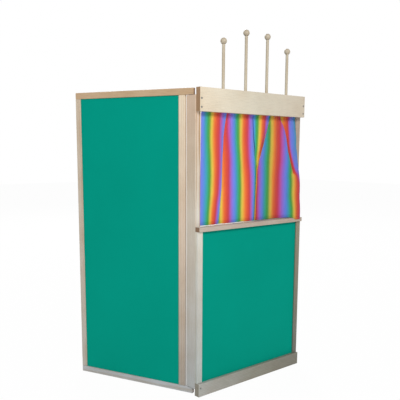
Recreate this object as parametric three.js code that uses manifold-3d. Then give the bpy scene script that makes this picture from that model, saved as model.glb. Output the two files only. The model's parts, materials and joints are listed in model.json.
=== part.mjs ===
// Free-standing wooden puppet theater: a framed front with a stage opening, and two framed wings
// that pivot on dowel pins between the front's posts.
// Millimetres, +Z up. The origin is the centre of the underside of the front's bottom rail.
// +X runs along the front, towards the right of a person who faces the stage, and +Y runs backstage.

import * as THREE from 'three';
import { mergeVertices } from 'three/addons/utils/BufferGeometryUtils.js';
import Module from 'manifold-3d';

const wasm = await Module();
wasm.setup();

// Overall sizes
const frontWidth = 610;
const panelHeight = 1219;

// Timber sections
const battenThickness = 25.4;
const wideBatten = 54;
const jointGap = 0.3;
const cutOverrun = 1;

// Front frame
const headerHeight = 89;
const headerSetback = 2;
const headerInset = 2;
const stileSetback = 9;
const sillTop = 689;
const sillThickness = 18;
const sillDepth = 41;
const panelThickness = 5;
const panelSetback = 6.5;
const panelEdge = 5;
const grooveClearance = 0.4;

// Wings
const wingLength = 559;
const wingThickness = 12.7;
const wingPanelSetback = 4;
const wingOpenAngle = THREE.MathUtils.degToRad(112.4);
const innerStileWidth = 28;

// Pivots between the posts and the ears of the wings' rails
const pivotInset = 9.5;
const leftPivotDepth = 63.8;
const foldedWingGap = 2.1;
const earOverhang = 14;
const swingClearance = 1.1;
const pinRadius = 3;
const pinSeat = 24;
const pinEndSetback = 2;
const pinChamfer = 0.6;
const boreClearance = 0.3;
const boreBottomClearance = 1;
const washerRadius = 9;
const washerThickness = 1.2;

// Puppet pegs in the header
const pegCount = 4;
const pegPitch = 122.5;
const pegRowShift = 8;
const pegRadius = 6;
const pegSeat = 30;
const pegBallRadius = 12.7;
const pegBallSocket = 9;
const outerPegRise = 179;
const innerPegRise = 224;

// Curtain and its rod
const rodRadius = 4.75;
const rodRise = 22;
const rodDepth = 33.2;
const socketRadius = 7.4;
const socketLength = 9;
const socketFloor = 2;
const clothThickness = 1.2;
const clothEdgeGap = 3;
const sleeveEndGap = 2;
const headingFlap = 16;
const hemGap = 5.5;
const foldDepth = 3.6;
const rodMeeting = 112.5;
const centreMeeting = 34;
const halvesGap = 1.6;
const pleatLayerGap = 2.4;
const pleatTurn = 1.5;
const pleatColumnStep = 3;
const leftPleatDepth = 42;
const leftPleatHemDepth = 13;
const rightPleatDepth = 52;
const edgePleatDepth = 50;
const valleyDepth = 7;
const tuckedDepth = 9;
const tuckRun = 25;
const edgeForward = 12.5;
const edgeSpread = 27;
const spillForward = 16.5;
const spillDip = 10;

// Where the cloth takes up its folds: shares of the drop from the rod to the hem, and of the
// sheet's width
const foldedDropShares = [0, 0.07];
const edgeSwingDropShares = [0.08, 0.455];
const leftPleatDropShares = [0.6, 1];
const leftPleatPlaceShares = [0.32, 0.266];
const valleyPlaceShares = [0.712, 0.898];
const rightPleatDropShares = [0.32, 0.62];
const rightPleatPlaceShares = [0.56, 0.88];
const spreadDropShares = [0.38, 0.66];
const spreadWidthShares = [0.5, 1];
const forwardDropShares = [0.06, 0.26];
const forwardWidthShares = [0.5, 0.8];
const spillDropShares = [0.78, 0.95];
const spillWidthShares = [0.66, 0.84];
const dipDropShares = [0.9, 1];
const dipWidthShares = [0.84, 0.89];

// Screws
const screwHeadRadius = 4;
const screwShankRadius = 2;
const screwTipClearance = 5.3;
const screwHeadHeight = 2.6;
const screwSetback = 0.4;
const slotWidth = 1;
const slotDepth = 1;
const screwFromEnd = 10.5;
const headerScrewRises = [15.5, 48];
const bottomScrewHeight = 36;

const roundSides = 24;
const ballRings = 12;

// Derived places
const halfFront = frontWidth / 2;
const postFront = battenThickness + jointGap;
const postBack = postFront + wideBatten;
const postInnerSide = halfFront - battenThickness;
const headerBottom = panelHeight - headerHeight;
const sillUnderside = sillTop - sillThickness;
const rodHeight = headerBottom + rodRise;
const hemHeight = sillTop + hemGap;
const pivotX = halfFront - pivotInset;
const rightPivotDepth = leftPivotDepth - wingThickness - foldedWingGap;
const earStack = battenThickness + jointGap + washerThickness + jointGap;
const postBottom = earStack;
const postTop = panelHeight - earStack;
const boreRadius = pinRadius + boreClearance;
const screwLength = rightPivotDepth - boreRadius - screwTipClearance - headerSetback - screwSetback;

const colours = {
  timber: '#ded0b4',
  paleTimber: '#e4dcc6',
  green: '#00927f',
  steel: '#b9bcc0',
  leftCloth: '#5b7fe0',
  rightCloth: '#e0603a',
};

function timber(colour = colours.timber) {
  return new THREE.MeshStandardMaterial({ color: colour, roughness: 0.62, metalness: 0 });
}

function greenBoard() {
  return new THREE.MeshStandardMaterial({ color: colours.green, roughness: 0.75, metalness: 0 });
}

function steel() {
  return new THREE.MeshStandardMaterial({ color: colours.steel, roughness: 0.35, metalness: 1 });
}

function cloth(colour) {
  return new THREE.MeshStandardMaterial({
    color: colour, roughness: 0.9, metalness: 0, side: THREE.DoubleSide,
  });
}

// Solids

function positionsOnly(geometry) {
  const bare = geometry.clone();
  bare.deleteAttribute('normal');
  bare.deleteAttribute('uv');
  return mergeVertices(bare);
}

function toSolid(geometry) {
  const merged = positionsOnly(geometry);
  return new wasm.Manifold(new wasm.Mesh({
    numProp: 3,
    vertProperties: Float32Array.from(merged.attributes.position.array),
    triVerts: Uint32Array.from(merged.index.array),
  }));
}

function toGeometry(solid) {
  const mesh = solid.getMesh();
  const geometry = new THREE.BufferGeometry();
  const positions = Float32Array.from(mesh.vertProperties);
  geometry.setAttribute('position', new THREE.BufferAttribute(positions, 3));
  geometry.setIndex(Array.from(mesh.triVerts));
  geometry.computeVertexNormals();
  return geometry;
}

function without(geometry, cutters) {
  let solid = toSolid(geometry);
  for (const cutter of cutters) {
    solid = solid.subtract(toSolid(cutter));
  }
  return toGeometry(solid);
}

// A box between two corners
function boxBetween([x0, y0, z0], [x1, y1, z1]) {
  const box = new THREE.BoxGeometry(x1 - x0, y1 - y0, z1 - z0);
  return box.translate((x0 + x1) / 2, (y0 + y1) / 2, (z0 + z1) / 2);
}

// A cylinder that stands on z0 and ends at z1
function uprightCylinder(radius, x, y, z0, z1) {
  const cylinder = new THREE.CylinderGeometry(radius, radius, z1 - z0, roundSides);
  cylinder.rotateX(Math.PI / 2);
  return cylinder.translate(x, y, (z0 + z1) / 2);
}

// A closed profile of [radius, height] points turned about Z
function turned(points, sides = roundSides) {
  const profile = points.map(([radius, height]) => new THREE.Vector2(radius, height));
  const lathe = new THREE.LatheGeometry(profile, sides);
  return lathe.rotateX(Math.PI / 2);
}

function piece(name, geometry, material, parent) {
  const mesh = new THREE.Mesh(geometry, material);
  mesh.name = name;
  parent.add(mesh);
  return mesh;
}

// Screws: a countersunk head and a plain shank, along +Y from the head's face

function screwGeometry() {
  const body = turned([
    [0, 0],
    [screwHeadRadius, 0],
    [screwShankRadius, screwHeadHeight],
    [screwShankRadius, screwLength - screwShankRadius],
    [0, screwLength],
  ]);
  const slot = boxBetween(
    [-screwHeadRadius - cutOverrun, -slotWidth / 2, -cutOverrun],
    [screwHeadRadius + cutOverrun, slotWidth / 2, slotDepth],
  );
  return without(body, [slot]).rotateX(-Math.PI / 2);
}

// The hole is the screw with a gap all round, and it opens to the face
function screwHole(x, faceY, z) {
  const head = screwHeadRadius + jointGap;
  const shank = screwShankRadius + jointGap;
  const hole = turned([
    [0, -screwSetback - cutOverrun],
    [head, -screwSetback - cutOverrun],
    [head, jointGap],
    [shank, screwHeadHeight + jointGap],
    [shank, screwLength + jointGap],
    [0, screwLength + jointGap],
  ]);
  return hole.rotateX(-Math.PI / 2).translate(x, faceY + screwSetback, z);
}

function screwPlaces() {
  const places = [];
  for (const [side, sign] of [['left', -1], ['right', 1]]) {
    const x = sign * (halfFront - screwFromEnd);
    headerScrewRises.forEach((rise, index) => {
      const name = `header_screw_${side}_${index + 1}`;
      places.push({ name, x, faceY: headerSetback, z: headerBottom + rise });
    });
    places.push({ name: `bottom_rail_screw_${side}`, x, faceY: 0, z: bottomScrewHeight });
  }
  return places;
}

function addScrews(parent) {
  for (const { name, x, faceY, z } of screwPlaces()) {
    piece(name, screwGeometry(), steel(), parent).position.set(x, faceY + screwSetback, z);
  }
}

// The holes for the screws whose names hold the given word
function screwHolesIn(word) {
  return screwPlaces()
    .filter((place) => place.name.includes(word))
    .map(({ x, faceY, z }) => screwHole(x, faceY, z));
}

// Front frame

const frontPanelFace = stileSetback + panelSetback;
const grooveFront = frontPanelFace - grooveClearance;
const grooveBack = frontPanelFace + panelThickness + grooveClearance;
const grooveDepth = panelEdge + grooveClearance;
const frontPanelSide = postInnerSide;

function bottomRail(parent) {
  const rail = boxBetween([-halfFront, 0, 0], [halfFront, battenThickness, wideBatten]);
  const groove = boxBetween(
    [-frontPanelSide - panelEdge - grooveClearance, grooveFront, wideBatten - grooveDepth],
    [frontPanelSide + panelEdge + grooveClearance, grooveBack, wideBatten + cutOverrun],
  );
  const cutters = [groove, ...screwHolesIn('bottom_rail')];
  piece('front_bottom_rail', without(rail, cutters), timber(), parent);
}

function lowerStile(side, sign, parent) {
  const outer = sign * halfFront;
  const inner = sign * postInnerSide;
  const stile = boxBetween(
    [Math.min(outer, inner), stileSetback, wideBatten + jointGap],
    [Math.max(outer, inner), battenThickness, sillUnderside - jointGap],
  );
  const grooveEnds = [inner - sign * cutOverrun, inner + sign * grooveDepth];
  const groove = boxBetween(
    [Math.min(...grooveEnds), grooveFront, wideBatten],
    [Math.max(...grooveEnds), grooveBack, sillUnderside],
  );
  piece(`front_${side}_stile`, without(stile, [groove]), timber(), parent);
}

// The sill runs across in front of the posts and fills the space between them
function sill(parent) {
  const board = boxBetween([-halfFront, 0, sillUnderside], [halfFront, sillDepth, sillTop]);
  const notches = [-1, 1].map((sign) => {
    const ends = [sign * (postInnerSide - jointGap), sign * (halfFront + cutOverrun)];
    return boxBetween(
      [Math.min(...ends), battenThickness, sillUnderside - cutOverrun],
      [Math.max(...ends), sillDepth + cutOverrun, sillTop + cutOverrun],
    );
  });
  const groove = boxBetween(
    [-frontPanelSide - panelEdge - grooveClearance, grooveFront, sillUnderside - cutOverrun],
    [frontPanelSide + panelEdge + grooveClearance, grooveBack, sillUnderside + grooveDepth],
  );
  piece('front_sill', without(board, [...notches, groove]), timber(), parent);
}

function lowerPanel(parent) {
  const side = frontPanelSide + panelEdge;
  piece('front_lower_panel', boxBetween(
    [-side, frontPanelFace, wideBatten - panelEdge],
    [side, frontPanelFace + panelThickness, sillUnderside + panelEdge],
  ), greenBoard(), parent);
}

function header(parent) {
  const end = halfFront - headerInset;
  const board = boxBetween(
    [-end, headerSetback, headerBottom],
    [end, battenThickness, panelHeight],
  );
  const sockets = pegPlaces().map((x) => uprightCylinder(
    pegRadius + jointGap, x, pegDepth, panelHeight - pegSeat, panelHeight + cutOverrun,
  ));
  const cutters = [...sockets, ...screwHolesIn('header')];
  piece('header', without(board, cutters), timber(colours.paleTimber), parent);
}

// Posts: the wings' pins stand in blind bores in the posts' ends

function post(side, sign, pivotDepth, parent) {
  const outer = sign * halfFront;
  const inner = sign * postInnerSide;
  const batten = boxBetween(
    [Math.min(outer, inner), postFront, postBottom],
    [Math.max(outer, inner), postBack, postTop],
  );
  const x = sign * pivotX;
  const seat = pinSeat + boreBottomClearance;
  const bores = [
    uprightCylinder(boreRadius, x, pivotDepth, postBottom - cutOverrun, postBottom + seat),
    uprightCylinder(boreRadius, x, pivotDepth, postTop - seat, postTop + cutOverrun),
  ];
  piece(`${side}_post`, without(batten, [...bores, ...screwHolesIn(side)]), timber(), parent);
}

function pinGeometry(length) {
  return turned([
    [0, 0],
    [pinRadius - pinChamfer, 0],
    [pinRadius, pinChamfer],
    [pinRadius, length - pinChamfer],
    [pinRadius - pinChamfer, length],
    [0, length],
  ]);
}

function washerGeometry() {
  const disc = uprightCylinder(washerRadius, 0, 0, 0, washerThickness);
  const hole = uprightCylinder(boreRadius, 0, 0, -cutOverrun, washerThickness + cutOverrun);
  return without(disc, [hole]);
}

function pivots(side, sign, pivotDepth, parent) {
  const x = sign * pivotX;
  const length = postBottom + pinSeat - pinEndSetback;
  const top = postTop - pinSeat;
  piece(`${side}_pivot_pin_bottom`, pinGeometry(length), steel(), parent)
    .position.set(x, pivotDepth, pinEndSetback);
  piece(`${side}_pivot_pin_top`, pinGeometry(length), steel(), parent)
    .position.set(x, pivotDepth, top);
  const lowWasher = battenThickness + jointGap;
  const highWasher = panelHeight - lowWasher - washerThickness;
  piece(`${side}_washer_bottom`, washerGeometry(), steel(), parent)
    .position.set(x, pivotDepth, lowWasher);
  piece(`${side}_washer_top`, washerGeometry(), steel(), parent)
    .position.set(x, pivotDepth, highWasher);
}

// Pegs

const pegDepth = (headerSetback + battenThickness) / 2;

function pegPlaces() {
  const places = [];
  for (let index = 0; index < pegCount; index += 1) {
    places.push(pegRowShift + (index - (pegCount - 1) / 2) * pegPitch);
  }
  return places;
}

function pegs(parent) {
  const ballBottom = Math.sqrt(pegBallRadius ** 2 - (pegRadius + jointGap) ** 2);
  pegPlaces().forEach((x, index) => {
    const isInner = index > 0 && index < pegCount - 1;
    const ballHeight = panelHeight + (isInner ? innerPegRise : outerPegRise);
    const foot = panelHeight - pegSeat + jointGap;
    const dowelTop = ballHeight - ballBottom + pegBallSocket - jointGap;
    piece(
      `peg_dowel_${index + 1}`,
      uprightCylinder(pegRadius, x, pegDepth, foot, dowelTop),
      timber(colours.paleTimber),
      parent,
    );
    const ball = new THREE.SphereGeometry(pegBallRadius, roundSides, ballRings);
    ball.rotateX(Math.PI / 2);
    const socket = uprightCylinder(
      pegRadius + jointGap, 0, 0, -pegBallRadius - cutOverrun, pegBallSocket - ballBottom,
    );
    piece(`peg_ball_${index + 1}`, without(ball, [socket]), timber(), parent)
      .position.set(x, pegDepth, ballHeight);
  });
}

// Wings: built along +X from the pivot, with the inner face towards -Y, then turned to the open angle.
// mirror is 1 for the left wing and -1 for the right one.

function innerStileStart(pivotDepth) {
  const toInnerCorner = Math.hypot(battenThickness - pivotInset, postBack - pivotDepth);
  return toInnerCorner + swingClearance;
}

function wing(side, mirror, pivotDepth, parent) {
  const group = new THREE.Group();
  group.position.set(-mirror * pivotX, pivotDepth, 0);
  group.rotation.z = mirror * wingOpenAngle;
  parent.add(group);

  const half = wingThickness / 2;
  const near = -earOverhang;
  const far = wingLength - earOverhang;
  const stileNear = innerStileStart(pivotDepth);
  const panelNear = stileNear + innerStileWidth;
  const panelFar = far - battenThickness;
  const railTop = battenThickness;
  const topRailUnderside = panelHeight - battenThickness;
  const panelFace = half - wingPanelSetback;
  const panelBack = panelFace - panelThickness;
  const spot = (x, y, z) => [mirror * x, y, z];
  const slab = (a, b) => boxBetween(
    [Math.min(a[0], b[0]), a[1], a[2]],
    [Math.max(a[0], b[0]), b[1], b[2]],
  );
  const groove = (x0, x1, z0, z1) => slab(
    spot(x0, panelBack - grooveClearance, z0),
    spot(x1, panelFace + grooveClearance, z1),
  );

  const rail = (name, z0, z1, grooveZ0, grooveZ1) => {
    const batten = slab(spot(near, -half, z0), spot(far, half, z1));
    const bore = uprightCylinder(boreRadius, 0, 0, z0 - cutOverrun, z1 + cutOverrun);
    const cut = groove(panelNear - grooveDepth, panelFar + grooveDepth, grooveZ0, grooveZ1);
    piece(`${side}_wing_${name}`, without(batten, [bore, cut]), timber(), group);
  };
  rail('bottom_rail', 0, railTop, railTop - grooveDepth, railTop + cutOverrun);
  const topGrooveStart = topRailUnderside - cutOverrun;
  rail('top_rail', topRailUnderside, panelHeight, topGrooveStart, topRailUnderside + grooveDepth);

  const stile = (name, x0, x1, grooveX0, grooveX1) => {
    const z0 = railTop + jointGap;
    const z1 = topRailUnderside - jointGap;
    const batten = slab(spot(x0, -half, z0), spot(x1, half, z1));
    const cut = groove(grooveX0, grooveX1, railTop, topRailUnderside);
    piece(`${side}_wing_${name}`, without(batten, [cut]), timber(), group);
  };
  stile('inner_stile', stileNear, panelNear, panelNear - grooveDepth, panelNear + cutOverrun);
  stile('outer_stile', panelFar, far, panelFar - cutOverrun, panelFar + grooveDepth);

  piece(`${side}_wing_panel`, slab(
    spot(panelNear - panelEdge, panelBack, railTop - panelEdge),
    spot(panelFar + panelEdge, panelFace, topRailUnderside + panelEdge),
  ), greenBoard(), group);
}

// Curtain rod and sockets

function rod(parent) {
  const end = postInnerSide - jointGap - socketFloor - jointGap;
  const bar = new THREE.CylinderGeometry(rodRadius, rodRadius, end + end, roundSides);
  bar.rotateZ(Math.PI / 2);
  piece('curtain_rod', bar, timber(), parent).position.set(0, rodDepth, rodHeight);
}

function rodSockets(parent) {
  for (const [side, sign] of [['left', -1], ['right', 1]]) {
    const cup = turned([
      [0, 0],
      [socketRadius, 0],
      [socketRadius, socketLength],
      [rodRadius + jointGap, socketLength],
      [rodRadius + jointGap, socketFloor],
      [0, socketFloor],
    ]);
    cup.rotateY(-sign * Math.PI / 2);
    piece(`rod_socket_${side}`, cup, timber(), parent)
      .position.set(sign * (postInnerSide - jointGap), rodDepth, rodHeight);
  }
}

// Curtain halves: a thin sheet with a sleeve over the rod at the top. Below it each half hangs in
// pleats and soft folds. The right half's free edge swings across in front of the left half.

const sleeveSteps = 6;
const dropSteps = 14;

// A soft step from 0 to 1 between two values
function smooth([low, high], value) {
  return THREE.MathUtils.smoothstep(value, low, high);
}

function between([low, high], share) {
  return THREE.MathUtils.lerp(low, high, share);
}

// The sheet's middle line from the back flap's end, over the rod and down to the hem
function dropLine() {
  const radius = rodRadius + jointGap + clothThickness / 2;
  const line = [{ y: rodDepth + radius, z: rodHeight - headingFlap, fall: 0 }];
  for (let step = 0; step <= sleeveSteps; step += 1) {
    const angle = Math.PI * (step / sleeveSteps);
    const y = rodDepth + radius * Math.cos(angle);
    line.push({ y, z: rodHeight + radius * Math.sin(angle), fall: 0 });
  }
  for (let step = 1; step <= dropSteps; step += 1) {
    const fall = step / dropSteps;
    line.push({ y: rodDepth - radius, z: rodHeight + fall * (hemHeight - rodHeight), fall });
  }
  return line;
}

// Beside the rod the sheet stops short of the socket, and below it hangs closer to the post
function edgeInset(fall) {
  const besideSocket = jointGap + socketLength + sleeveEndGap;
  return THREE.MathUtils.lerp(besideSocket, clothEdgeGap, smooth([0, 1 / dropSteps], fall));
}

// The right half's free edge hangs at the meeting on the rod and swings to the middle below it
function freeEdge(fall) {
  const [start, end] = edgeSwingDropShares;
  const swing = THREE.MathUtils.clamp((fall - start) / (end - start), 0, 1) ** 2;
  return { place: between([rodMeeting + halvesGap, centreMeeting], swing), swing };
}

// A section is a list of points, each with its place along X, how far back the cloth lies there,
// and the steps that lead to it. A pleat's seven points open out flat as its depth goes to zero.
function pleat(points, place, depth) {
  const open = smooth([0, pleatTurn * 4], depth);
  return points.map(([x, back, steps], index) => {
    const flat = place + (index - points.length / 2) * pleatColumnStep;
    return [THREE.MathUtils.lerp(flat, x, open), back * open, steps];
  });
}

// The front layer ends at place, turns back for the depth, and comes out again behind itself
function standingPleat(place, depth, behind, steps) {
  const back = behind + pleatLayerGap;
  return pleat([
    [place - pleatTurn, 0, steps],
    [place, behind / 2, 1],
    [place - pleatTurn, behind, 1],
    [place - depth + pleatTurn, behind, 2],
    [place - depth, (behind + back) / 2, 1],
    [place - depth + pleatTurn, back, 1],
    [place + pleatTurn, back, 2],
  ], place, depth);
}

// The free edge's cloth lies in two layers behind the fold that shows
function edgePleat(place, depth) {
  const middle = pleatLayerGap;
  const back = middle + pleatLayerGap;
  return pleat([
    [place + pleatTurn, back, 0],
    [place + depth - pleatTurn, back, 2],
    [place + depth, (middle + back) / 2, 1],
    [place + depth - pleatTurn, middle, 1],
    [place + pleatTurn, middle, 2],
    [place, middle / 2, 1],
    [place + pleatTurn, 0, 1],
  ], place + pleatColumnStep * 3.5, depth);
}

function leftSection(fall) {
  const hang = smooth(foldedDropShares, fall);
  const left = -postInnerSide + edgeInset(fall);
  const right = rodMeeting - halvesGap;
  const at = (share) => THREE.MathUtils.lerp(left, right, share);
  const pleatPlace = at(between(leftPleatPlaceShares, fall));
  const shallow = smooth(leftPleatDropShares, fall);
  const depth = between([leftPleatDepth, leftPleatHemDepth], shallow) * hang;
  const tucked = freeEdge(fall).place - pleatTurn - pleatColumnStep;
  const valley = Math.min(at(between(valleyPlaceShares, fall)), tucked - tuckRun / 2);
  const wedge = smooth([tuckRun / 2, tuckRun * 2], tucked - valley);
  const crest = pleatPlace + tuckRun;
  return [
    [left, foldDepth, 0],
    [(left + pleatPlace) / 2, 0, 3],
    ...standingPleat(pleatPlace, depth, pleatLayerGap, 3),
    [crest, 0, 2],
    [(crest + valley) / 2, foldDepth, 2],
    [valley - tuckRun, 0, 2],
    [valley, valleyDepth, 2],
    [(valley + tucked) / 2, between([(valleyDepth + tuckedDepth) / 2, 0], wedge), 2],
    [tucked, tuckedDepth, 2],
    [right, tuckedDepth, 2],
  ];
}

function rightSection(fall) {
  const hang = smooth(foldedDropShares, fall);
  const { place, swing } = freeEdge(fall);
  const right = postInnerSide - edgeInset(fall);
  const shown = Math.min(fall / rightPleatDropShares[1], 1);
  const share = between(rightPleatPlaceShares, shown);
  const pleatPlace = THREE.MathUtils.lerp(centreMeeting, right, share);
  const depth = rightPleatDepth * (1 - smooth(rightPleatDropShares, fall)) * hang;
  const edge = edgePleat(place, edgePleatDepth * (1 - swing) * hang);
  const start = edge.at(-1)[0];
  return [
    ...edge,
    [THREE.MathUtils.lerp(start, pleatPlace, 1 / 2), foldDepth / 2, 3],
    ...standingPleat(pleatPlace, depth, 3 * pleatLayerGap, 3),
    [(pleatPlace + right) / 2, 0, 2],
    [right, foldDepth * (1 - smooth(forwardDropShares, fall)), 2],
  ];
}

// The columns of a section: X goes evenly from point to point, and the depth goes softly
function sectionColumns(section, hang) {
  const columns = [[section[0][0], section[0][1] * hang]];
  for (let index = 1; index < section.length; index += 1) {
    const [x, back, steps] = section[index];
    const [fromX, fromBack] = section[index - 1];
    for (let step = 1; step <= steps; step += 1) {
      const share = step / steps;
      const depth = THREE.MathUtils.lerp(fromBack, back, smooth([0, 1], share));
      columns.push([THREE.MathUtils.lerp(fromX, x, share), depth * hang]);
    }
  }
  return columns;
}

function leftHalf({ y, z, fall }) {
  const hang = smooth(foldedDropShares, fall);
  return sectionColumns(leftSection(fall), hang).map(([x, back]) => [x, y + back, z]);
}

// The right half comes forward below the header, spreads over the post and spills over the sill
function rightHalf({ y, z, fall }) {
  const hang = smooth(foldedDropShares, fall);
  const edge = postInnerSide - edgeInset(fall);
  return sectionColumns(rightSection(fall), hang).map(([x, back]) => {
    const across = (x - centreMeeting) / (edge - centreMeeting);
    const spread = smooth(spreadDropShares, fall) * smooth(spreadWidthShares, across) * edgeSpread;
    const forward = smooth(forwardDropShares, fall) * smooth(forwardWidthShares, across);
    const spill = smooth(spillDropShares, fall) * smooth(spillWidthShares, across) * spillForward;
    const dip = smooth(dipDropShares, fall) * smooth(dipWidthShares, across) * spillDip;
    return [x + spread, y + back - forward * edgeForward - spill, z - dip];
  });
}

// A closed sheet of even thickness about the middle surface whose rows half gives
function sheetGeometry(half) {
  const middle = dropLine().map((entry) => half(entry).map((point) => new THREE.Vector3(...point)));
  const rows = middle.length;
  const columns = middle[0].length - 1;
  const normalAt = (row, column) => {
    const up = middle[Math.max(row - 1, 0)][column];
    const down = middle[Math.min(row + 1, rows - 1)][column];
    const left = middle[row][Math.max(column - 1, 0)];
    const right = middle[row][Math.min(column + 1, columns)];
    const along = right.clone().sub(left);
    return along.cross(down.clone().sub(up)).normalize();
  };
  const positions = [];
  for (const side of [-1, 1]) {
    middle.forEach((row, rowIndex) => row.forEach((point, column) => {
      const offset = normalAt(rowIndex, column).multiplyScalar(side * clothThickness / 2);
      positions.push(...point.clone().add(offset).toArray());
    }));
  }
  const width = columns + 1;
  const backStart = rows * width;
  const faces = [];
  const quad = (a, b, c, d) => faces.push(a, c, b, a, d, c);
  for (let row = 0; row < rows - 1; row += 1) {
    for (let column = 0; column < columns; column += 1) {
      const a = row * width + column;
      quad(a, a + 1, a + 1 + width, a + width);
      const b = backStart + a;
      quad(b, b + width, b + width + 1, b + 1);
    }
    const left = row * width;
    const right = left + columns;
    quad(left, left + width, backStart + left + width, backStart + left);
    quad(right, backStart + right, backStart + right + width, right + width);
  }
  for (let column = 0; column < columns; column += 1) {
    const last = (rows - 1) * width + column;
    quad(column, backStart + column, backStart + column + 1, column + 1);
    quad(last, last + 1, backStart + last + 1, backStart + last);
  }
  const geometry = new THREE.BufferGeometry();
  geometry.setAttribute('position', new THREE.Float32BufferAttribute(positions, 3));
  geometry.setIndex(faces);
  geometry.computeVertexNormals();
  return geometry;
}

function curtains(parent) {
  piece('curtain_left', sheetGeometry(leftHalf), cloth(colours.leftCloth), parent);
  piece('curtain_right', sheetGeometry(rightHalf), cloth(colours.rightCloth), parent);
}

// Assembly: the pieces are placed from the rails' front face, and the frame is then centred in Y

const group = new THREE.Group();
const theater = new THREE.Group();
theater.position.set(0, -battenThickness / 2, 0);
group.add(theater);

bottomRail(theater);
lowerPanel(theater);
sill(theater);
header(theater);
pegs(theater);
for (const [side, sign, pivotDepth] of [['left', -1, leftPivotDepth], ['right', 1, rightPivotDepth]]) {
  lowerStile(side, sign, theater);
  post(side, sign, pivotDepth, theater);
  pivots(side, sign, pivotDepth, theater);
  wing(side, -sign, pivotDepth, theater);
}
addScrews(theater);
rod(theater);
rodSockets(theater);
curtains(theater);

export default group;
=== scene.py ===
# A wooden puppet theater for children: framed front, striped stage curtain, puppet pegs and two
# folding wings. Metres, in the frame of the CAD model: +X along the front, +Y backstage, +Z up.

import json
import math

import bpy
from mathutils import Matrix, Vector, noise


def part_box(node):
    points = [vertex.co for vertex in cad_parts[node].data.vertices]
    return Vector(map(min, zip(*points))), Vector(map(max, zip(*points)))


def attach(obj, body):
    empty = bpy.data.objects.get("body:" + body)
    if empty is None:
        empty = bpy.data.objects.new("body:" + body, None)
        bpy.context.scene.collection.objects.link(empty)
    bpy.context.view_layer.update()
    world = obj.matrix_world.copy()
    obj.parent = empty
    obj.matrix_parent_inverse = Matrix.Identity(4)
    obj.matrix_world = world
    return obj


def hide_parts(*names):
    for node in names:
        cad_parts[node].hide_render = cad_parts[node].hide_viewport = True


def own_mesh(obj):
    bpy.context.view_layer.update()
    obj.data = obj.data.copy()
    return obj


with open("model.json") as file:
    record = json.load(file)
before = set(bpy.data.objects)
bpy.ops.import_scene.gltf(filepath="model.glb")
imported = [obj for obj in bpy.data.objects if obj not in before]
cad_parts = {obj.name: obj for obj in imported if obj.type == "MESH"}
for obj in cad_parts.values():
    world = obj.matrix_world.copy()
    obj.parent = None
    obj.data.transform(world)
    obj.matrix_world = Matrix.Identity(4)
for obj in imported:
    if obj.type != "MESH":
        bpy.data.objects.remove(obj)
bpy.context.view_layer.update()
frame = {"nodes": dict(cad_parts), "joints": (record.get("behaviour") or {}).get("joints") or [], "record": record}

MM = 0.001

# Sizes of what the frame doesn't give
ARRIS = 1.4 * MM
PANEL_ARRIS = 0.4 * MM
GROOVE_CLEARANCE = 0.4 * MM
PEG_CLEARANCE = 0.3 * MM
CUT_OVERRUN = 2 * MM
CLOTH_THICKNESS = 0.5 * MM
SCREW_CLEARANCE = 0.2 * MM
SCREW_HEAD_HEIGHT = 2.6 * MM
SCREW_SHANK = 2 * MM
PIVOT_BORE = 3.3 * MM
STRIPE_REPEAT = 130 * MM

# How round bars and edges are shaped, with angles in degrees
BAR_SIDES = 32
PEG_SIDES = 40
SHARP_ANGLE = 40
BOARD_SHARP_ANGLE = 60
BALL_SHARP_ANGLE = 45
SMOOTH_ANGLE = 35

# The wings' flat frames: X runs along the wing from its pivot, as when it is folded
OPEN_ANGLE = {}
FLAT = {}
for joint in frame["joints"]:
    if joint["type"] == "hinge":
        opened_by = -joint["axis"][2] * math.radians(joint["range_deg"][1])
        pivot = Matrix.Translation(Vector(joint["pos_m"]))
        FLAT[joint["child"]] = pivot @ Matrix.Rotation(opened_by, 4, "Z")
        OPEN_ANGLE[joint["child"]] = opened_by
FLAT["front"] = Matrix.Identity(4)


# Colours and nodes

def colour(code):
    """An sRGB hex colour as linear RGBA."""
    def linear(part):
        value = int(part, 16) / 255
        return value / 12.92 if value <= 0.04045 else ((value + 0.055) / 1.055) ** 2.4
    return [linear(code[index:index + 2]) for index in (1, 3, 5)] + [1.0]


def add(tree, kind, inputs=None, stops=(), **settings):
    """Adds a node. An input that is an output socket is linked, and any other is set. stops are
    the places and colours of a colour ramp, in rising order."""
    made = tree.nodes.new(kind)
    for key, value in settings.items():
        setattr(made, key, value)
    for socket, value in (inputs or {}).items():
        if isinstance(value, bpy.types.NodeSocket):
            tree.links.new(value, made.inputs[socket])
        else:
            made.inputs[socket].default_value = value
    for index, (place, value) in enumerate(stops):
        points = made.color_ramp.elements
        point = points[index] if index < len(points) else points.new(place)
        point.position = place
        point.color = value
    return made


def new_material(name):
    material = bpy.data.materials.new(name)
    material.use_nodes = True
    material.node_tree.nodes.clear()
    return material, material.node_tree


def show(tree, inputs):
    """The material's shader, with its constants and patterns on its own sockets."""
    shader = add(tree, "ShaderNodeBsdfPrincipled", inputs)
    add(tree, "ShaderNodeOutputMaterial", {"Surface": shader.outputs["BSDF"]})


def grey(value):
    return [value, value, value, 1.0]


# Birch battens, planed and sealed with clear satin lacquer: pale, with faint growth rings, fine
# fibres along the length, small flecks, and darker, browner end grain.
# The pith lies beside each batten, so its face shows the arches and lines of a sawn board.
# Fibres are drawn 1.6 mm apart, coarser than real ones, so that they show.

RING_SPACING = 5.5 * MM
FIBRE_SPACING = 1.6 * MM
FLECK_SPACING = 5 * MM
PATCH_SPACING = 111.1 * MM
FIBRE_RELIEF = 0.3 * MM
ALONG_STRETCH = 0.05
FIBRE_SHADE = 0.86
FLECK_SHADE = 0.84
DRIFT = "#F4EFE9"


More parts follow.
